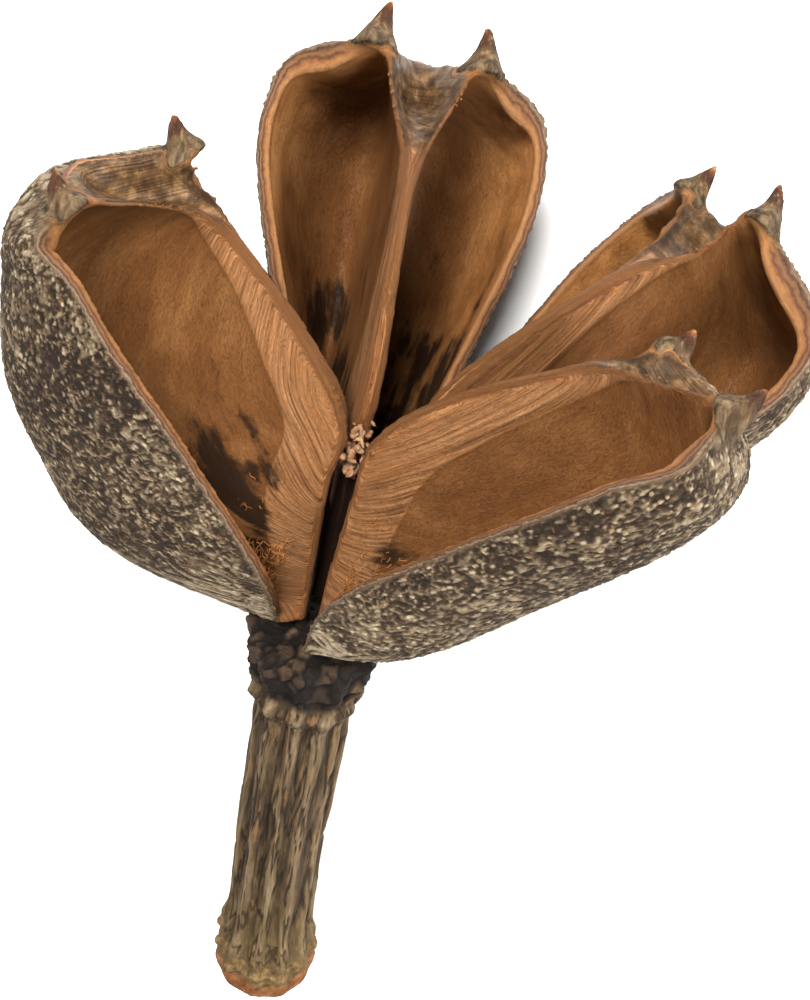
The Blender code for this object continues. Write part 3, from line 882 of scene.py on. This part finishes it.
class Paint:
    """A node material, written as short calls. Colours are linear."""

    def __init__(self, name, roughness, specular):
        self.material = bpy.data.materials.new(name)
        self.material.use_nodes = True
        self.tree = self.material.node_tree
        self.shader = self.tree.nodes["Principled BSDF"]
        self.shader.inputs["Roughness"].default_value = roughness
        self.shader.inputs["Specular IOR Level"].default_value = specular

    def node(self, kind, **settings):
        made = self.tree.nodes.new("ShaderNode" + kind)
        for key, value in settings.items():
            setattr(made, key, value)
        return made

    def put(self, socket, value):
        if hasattr(value, "is_output"):
            self.tree.links.new(value, socket)
        elif isinstance(value, tuple) and len(value) == 3 and socket.type == "RGBA":
            socket.default_value = (*value, 1.0)
        else:
            socket.default_value = value

    def fact(self, name, vector=False):
        node = self.node("Attribute", attribute_name=name)
        return node.outputs["Vector" if vector else "Fac"]

    def maths(self, operation, a, b=0.0):
        node = self.node("Math", operation=operation)
        self.put(node.inputs[0], a)
        self.put(node.inputs[1], b)
        return node.outputs[0]

    def times(self, a, b):
        return self.maths("MULTIPLY", a, b)

    def plus(self, a, b):
        return self.maths("ADD", a, b)

    def between(self, value, low, high, to_low=0.0, to_high=1.0):
        """The value eased from low to high onto a new range."""
        node = self.node("MapRange", interpolation_type="SMOOTHSTEP")
        self.put(node.inputs["Value"], value)
        for key, number in (("From Min", low), ("From Max", high), ("To Min", to_low), ("To Max", to_high)):
            node.inputs[key].default_value = number
        return node.outputs["Result"]

    def scaled(self, vector, scale):
        node = self.node("VectorMath", operation="MULTIPLY")
        self.put(node.inputs[0], vector)
        node.inputs[1].default_value = scale
        return node.outputs[0]

    def noise(self, vector, scale, detail=4.0, rough=0.55, bend=0.0):
        node = self.node("TexNoise")
        scale = scale if isinstance(scale, tuple) else (scale, scale, scale)
        self.put(node.inputs["Vector"], self.scaled(vector, scale))
        node.inputs["Scale"].default_value = 1.0
        node.inputs["Detail"].default_value = detail
        node.inputs["Roughness"].default_value = rough
        node.inputs["Distortion"].default_value = bend
        return node.outputs["Fac"]

    def cells(self, vector, scale):
        """Distance to the nearest cell's middle, and a number of that cell's own."""
        node = self.node("TexVoronoi")
        self.put(node.inputs["Vector"], self.scaled(vector, scale))
        node.inputs["Scale"].default_value = 1.0
        split = self.node("SeparateColor")
        self.put(split.inputs[0], node.outputs["Color"])
        return node.outputs["Distance"], split.outputs[0]

    def colours(self, value, stops):
        node = self.node("ValToRGB")
        self.put(node.inputs["Fac"], value)
        ramp = node.color_ramp
        while len(ramp.elements) < len(stops):
            ramp.elements.new(0.5)
        for element, (place, colour) in zip(ramp.elements, stops):
            element.position = place
            element.color = (*colour, 1.0)
        return node.outputs["Color"]

    def mix(self, share, a, b, blend="MIX"):
        node = self.node("Mix", data_type="RGBA", blend_type=blend)
        self.put(node.inputs["Factor"], share)
        sockets = [s for s in node.inputs if s.type == "RGBA"]
        self.put(sockets[0], a)
        self.put(sockets[1], b)
        return next(s for s in node.outputs if s.type == "RGBA")

    def finish(self, colour, height=None, bump=0.0):
        """The finished material, with a bump in mm if it has a height."""
        self.tree.links.new(colour, self.shader.inputs["Base Color"])
        if height is not None:
            node = self.node("Bump")
            node.inputs["Strength"].default_value = 1.0
            node.inputs["Distance"].default_value = bump * MM
            self.put(node.inputs["Height"], height)
            self.tree.links.new(node.outputs["Normal"], self.shader.inputs["Normal"])
        return self.material


def wood_colour(p, grain, place, hair_lines, ribs, flange):
    """Caramel wood with fine short dark hairs, the pale ribbed flanges, and painted shade darkening the
    depths of the hollows.
    """
    wood = p.colours(p.noise(grain, (0.32, 0.22, 1.0), 5.0, 0.6, 0.4), WOOD_TONES)
    streaks = p.noise(grain, (2.2, 0.16, 1.0), 5.0, 0.6, 0.5)
    wood = p.mix(p.between(streaks, 0.5, 0.72, 0.0, 0.45), wood, (0.17, 0.070, 0.024))
    sparse = p.between(p.noise(place, 0.9, 2.0), 0.45, 0.62)
    wood = p.mix(p.times(p.times(hair_lines, sparse), 0.6), wood, (0.10, 0.036, 0.012))
    speck = p.between(p.noise(place, 5.5, 2.0, 0.5), 0.66, 0.72)
    wood = p.mix(p.times(speck, 0.45), wood, (0.12, 0.045, 0.016))
    ribbed = p.colours(ribs, FLANGE_TONES)
    broad = p.noise(grain, (0.6, 0.12, 1.0), 2.0)
    ribbed = p.mix(p.between(broad, 0.45, 0.7, 0.0, 0.35), ribbed, (0.28, 0.115, 0.038))
    colour = p.mix(flange, wood, ribbed)
    # painted shade deep in the hollows, kept off the flange
    deep = p.times(p.fact("deep"), p.between(flange, 0.8, 0.1))
    return p.mix(p.times(deep, 0.74), colour, (0.062, 0.022, 0.0065))


def stained_colour(p, colour, grain):
    """Patchy dark stains toward the base."""
    stain = p.fact("stain")
    breakup = p.noise(grain, (2.2, 1.0, 1.0), 6.0, 0.72, 0.5)
    stained = p.between(p.plus(p.times(stain, 0.8), breakup), 0.62, 1.12, 0.0, 0.96)
    stained = p.times(stained, p.between(stain, 0.0, 0.5))
    return p.mix(stained, colour, (0.016, 0.0075, 0.0035))


def edge_colour(p, colour, grain, place):
    """Dark and orange-brown lines along the seed wall's edge, and the dark trench between the horns."""
    edge_line = p.times(p.between(p.fact("edge"), 0.2, 1.1, 1.0, 0.0),
                        p.between(p.fact("outside"), 0.0, 0.3, 1.0, 0.0))
    edge_tone = p.colours(p.noise(grain, (3.2, 0.22, 1.0), 5.0, 0.7), EDGE_TONES)
    colour = p.mix(p.times(edge_line, 0.85), colour, edge_tone)
    pit_tone = p.colours(p.noise(place, 1.4, 5.0, 0.65), PIT_TONES)
    pit = p.times(p.between(p.fact("cleft"), 0.3, 0.65), p.between(p.fact("along"), 22.0, 25.0))
    return p.mix(p.times(pit, 0.92), colour, pit_tone)


def bark_colour(p, grain, place, grit, fleck):
    """Dark brown bark under cream flakes, with ochre and rust patches and dark hairlines."""
    tone = p.plus(p.times(p.fact("pale"), 0.66), p.times(grit, 0.46))
    bark = p.colours(p.plus(tone, p.times(fleck, 0.34)), BARK_TONES)
    ochre = p.between(p.noise(place, 1.9, 3.0), 0.56, 0.66)
    bark = p.mix(p.times(ochre, 0.5), bark, (0.26, 0.17, 0.075), "OVERLAY")
    rust = p.between(p.noise(place, 3.1, 3.0), 0.64, 0.70)
    bark = p.mix(p.times(rust, 0.55), bark, (0.23, 0.10, 0.042))
    hairline = p.noise(grain, (5.5, 0.8, 1.0), 4.0, 0.65, 1.2)
    return p.mix(p.between(hairline, 0.42, 0.30, 0.0, 0.6), bark, (0.014, 0.010, 0.008))


def lip_colour(p, colour, grain, place, lip, horn):
    """The layered lip: a tan inner edge, dark lines and a beige outer layer."""
    wobble = p.times(p.maths("SUBTRACT", p.noise(place, 0.9, 4.0, 0.6), 0.5), 0.55)
    layers = p.colours(p.between(p.plus(lip, wobble), -0.35, 1.35), LIP_TONES)
    on_lip = p.times(p.between(lip, -0.45, -0.1), p.between(lip, 1.25, 0.75))
    lip_lines = p.noise(grain, (4.0, 0.4, 1.0), 4.0, 0.65)
    layers = p.mix(p.between(lip_lines, 0.48, 0.36, 0.0, 0.6), layers, (0.11, 0.05, 0.03))
    on_lip = p.times(on_lip, p.between(horn, 0.3, 0.1))
    on_lip = p.times(on_lip, p.between(p.fact("collar"), 0.2, 0.9, 1.0, 0.25))
    return p.mix(on_lip, colour, layers)


def horn_colour(p, colour, place, lip, horn):
    """The horns: streaky olive-brown collars, dark scraped shafts and orange-brown tips."""
    spotted = p.plus(horn, p.times(p.maths("SUBTRACT", p.noise(place, 1.6, 4.0), 0.5), 0.35))
    spike = p.colours(spotted, HORN_TONES)
    scrape = p.noise(place, (3.5, 3.5, 0.9), 4.0, 0.65)
    spike = p.mix(p.between(scrape, 0.52, 0.68, 0.0, 0.75), spike, (0.27, 0.155, 0.072))
    spike = p.mix(p.between(scrape, 0.46, 0.36, 0.0, 0.7), spike, (0.022, 0.011, 0.006))
    olive = p.colours(p.noise(place, (1.8, 1.8, 0.5), 5.0, 0.65, 0.6), COLLAR_TONES)
    colour = p.mix(p.times(p.fact("collar"), p.between(lip, 0.35, 0.8, 0.0, 0.85)), colour, olive)
    return p.mix(p.between(horn, 0.20, 0.45), colour, spike)


def valve_paint():
    p = Paint("valve_wood", roughness=0.62, specular=0.14)
    grain, place = p.fact("grain", True), p.fact("place", True)
    lip, flange, horn = (p.fact(k) for k in ("lip", "flange", "horn"))
    hairs = p.noise(grain, (4.5, 1.7, 1.0), 3.0, 0.65, 2.2)
    hair_lines = p.between(p.maths("ABSOLUTE", p.maths("SUBTRACT", hairs, 0.5)), 0.0, 0.022, 1.0, 0.0)
    ribs = p.noise(grain, (6.0, 0.14, 1.0), 4.0, 0.6, 0.25)
    grit = p.noise(place, 4.2, 6.0, 0.7)
    away, own = p.cells(grain, (3.3, 2.5, 1.0))
    fleck = p.times(p.between(away, 0.55, 0.18), p.between(own, 0.35, 0.8))
    barked = p.between(lip, 0.75, 1.05)

    colour = wood_colour(p, grain, place, hair_lines, ribs, flange)
    colour = stained_colour(p, colour, grain)
    colour = edge_colour(p, colour, grain, place)
    colour = p.mix(barked, colour, bark_colour(p, grain, place, grit, fleck))
    colour = lip_colour(p, colour, grain, place, lip, horn)
    colour = horn_colour(p, colour, place, lip, horn)
    # painted shade, near-black, in the gap between the seed walls
    colour = p.mix(p.times(p.fact("core_shade"), 0.96), colour, (0.006, 0.003, 0.002))

    rough = p.plus(0.48, p.times(p.between(lip, 0.6, 1.3), 0.34))
    p.tree.links.new(rough, p.shader.inputs["Roughness"])
    inner_height = p.plus(p.times(hair_lines, -0.5), p.times(ribs, p.times(flange, 2.0)))
    inner_height = p.plus(inner_height, p.noise(grain, (3.0, 1.0, 1.0), 5.0, 0.65))
    outer_height = p.times(p.plus(grit, p.noise(place, 9.0, 4.0, 0.7)), 2.2)
    height = p.node("Mix")
    p.put(height.inputs["Factor"], barked)
    p.put(height.inputs["A"], inner_height)
    p.put(height.inputs["B"], p.plus(outer_height, fleck))
    return p.finish(colour, height.outputs["Result"], 0.05)


def fibre_paint(name, tones):
    p = Paint(name, roughness=0.75, specular=0.2)
    where = p.node("TexCoord").outputs["Object"]
    colour = p.colours(p.noise(where, 900.0, 4.0, 0.6), tones)
    return p.finish(colour, p.noise(where, 6000.0, 3.0), 0.02)


def stalk_paint():
    p = Paint("stalk_bark", roughness=0.8, specular=0.12)
    grain, place = p.fact("grain", True), p.fact("place", True)
    crack = p.fact("crack")
    streak = p.noise(grain, (2.0, 2.0, 0.16), 6.0, 0.65, 0.4)
    fine = p.noise(grain, (6.0, 6.0, 0.6), 5.0, 0.7)
    tone = p.plus(p.times(streak, 0.55), p.times(fine, 0.35))
    stem = p.colours(p.plus(tone, p.times(p.fact("rib"), 0.16)), STEM_TONES)
    warm = p.between(p.noise(grain, (2.4, 2.4, 0.25), 4.0, 0.65), 0.56, 0.68)
    stem = p.mix(p.times(warm, 0.45), stem, (0.20, 0.095, 0.036))
    stem = p.mix(p.times(crack, 0.75), stem, (0.022, 0.013, 0.008))
    olive = p.between(p.fact("height"), -20.0, -33.0)
    stem = p.mix(p.times(olive, 0.32), stem, (0.125, 0.082, 0.030))
    top = p.colours(p.plus(p.times(p.fact("scales"), 0.7), p.times(fine, 0.5)), HEAD_TONES)
    colour = p.mix(p.fact("head"), stem, top)
    base = p.colours(p.noise(place, 1.5, 6.0, 0.65), FOOT_TONES)
    colour = p.mix(p.times(p.fact("foot"), 0.8), colour, base)
    colour = p.mix(p.fact("disc"), colour, p.colours(p.noise(place, 1.0, 6.0, 0.6), DISC_TONES))
    colour = p.mix(p.times(crack, 0.8), colour, (0.016, 0.010, 0.006))
    return p.finish(colour, p.plus(p.times(fine, 2.0), streak), 0.06)


# ---------------------------------------------------------------- the studio

def floor_paint():
    p = Paint("pale_floor", roughness=0.9, specular=0.1)
    tone = p.noise(p.node("TexCoord").outputs["Object"], 40.0, 2.0)
    return p.finish(p.colours(tone, FLOOR_TONES))


def make_floor():
    mesh = bmesh.new()
    bmesh.ops.create_grid(mesh, x_segments=1, y_segments=1, size=FLOOR_SIZE)
    data = bpy.data.meshes.new("floor")
    mesh.to_mesh(data)
    mesh.free()
    data.materials.append(floor_paint())
    floor = in_scene("floor", data)
    floor.location.z = -FLOOR_DROP * MM


def add_light(name, place, size, power, colour):
    light = bpy.data.lights.new(name, "AREA")
    light.shape = "DISK"
    light.size = size * MM
    light.energy = power
    light.color = colour
    lamp = in_scene(name, light)
    lamp.location = Vector(place) * MM
    lamp.rotation_mode = "QUATERNION"
    lamp.rotation_quaternion = (Vector(LIGHT_AIM) - Vector(place)).to_track_quat("-Z", "Y")


def make_lights():
    world = bpy.data.worlds.new("studio")
    bpy.context.scene.world = world
    world.use_nodes = True
    sky = world.node_tree.nodes["Background"]
    sky.inputs["Color"].default_value = (1.0, 1.0, 1.0, 1.0)
    sky.inputs["Strength"].default_value = WORLD_STRENGTH
    for light in LIGHTS:
        add_light(*light)
    bpy.context.scene.view_settings.view_transform = "Standard"


def make_camera():
    """The viewing angle of a lens that looks down on the mouth of the capsule."""
    elevation = math.radians(CAMERA_ELEVATION)
    roll = math.radians(CAMERA_ROLL)
    east = np.array((1.0, 0.0, 0.0))
    north = np.array((0.0, math.sin(elevation), math.cos(elevation)))
    toward = np.array((0.0, -math.cos(elevation), math.sin(elevation)))
    right = east * math.cos(roll) + north * math.sin(roll)
    up = north * math.cos(roll) - east * math.sin(roll)
    turned = np.array(LAID_TURN) @ np.stack((right, up, toward), axis=1)
    lens = bpy.data.cameras.new("camera")
    lens.lens = CAMERA_LENS
    lens.sensor_width = SENSOR_WIDTH
    lens.clip_start = 0.001
    camera = in_scene("camera", lens)
    place = Vector(turned @ CAMERA_OFFSET + LAID_ORIGIN) * MM
    camera.matrix_world = Matrix.Translation(place) @ Matrix(turned.tolist()).to_4x4()
    bpy.context.scene.camera = camera


def main():
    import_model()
    make_camera()
    wood = valve_paint()
    rusty = fibre_paint("rusty_fibre", RUSTY_TONES)
    pale = fibre_paint("pale_fibre", CRUMB_TONES)
    for name, valve in VALVES.items():
        points, normals, f = make_valve(name, valve, wood)
        for k, (ending, low, high, count, length, thick) in enumerate(FIBRES):
            roots, ways = fibre_roots(points, normals, f, low, high)
            make_fibres(name + ending, roots, ways, count, length, thick, rusty, valve["seed"] + k)
    make_crumbs("septa_crumbs", pale)
    make_stalk("stalk", stalk_paint())
    make_floor()
    make_lights()


main()
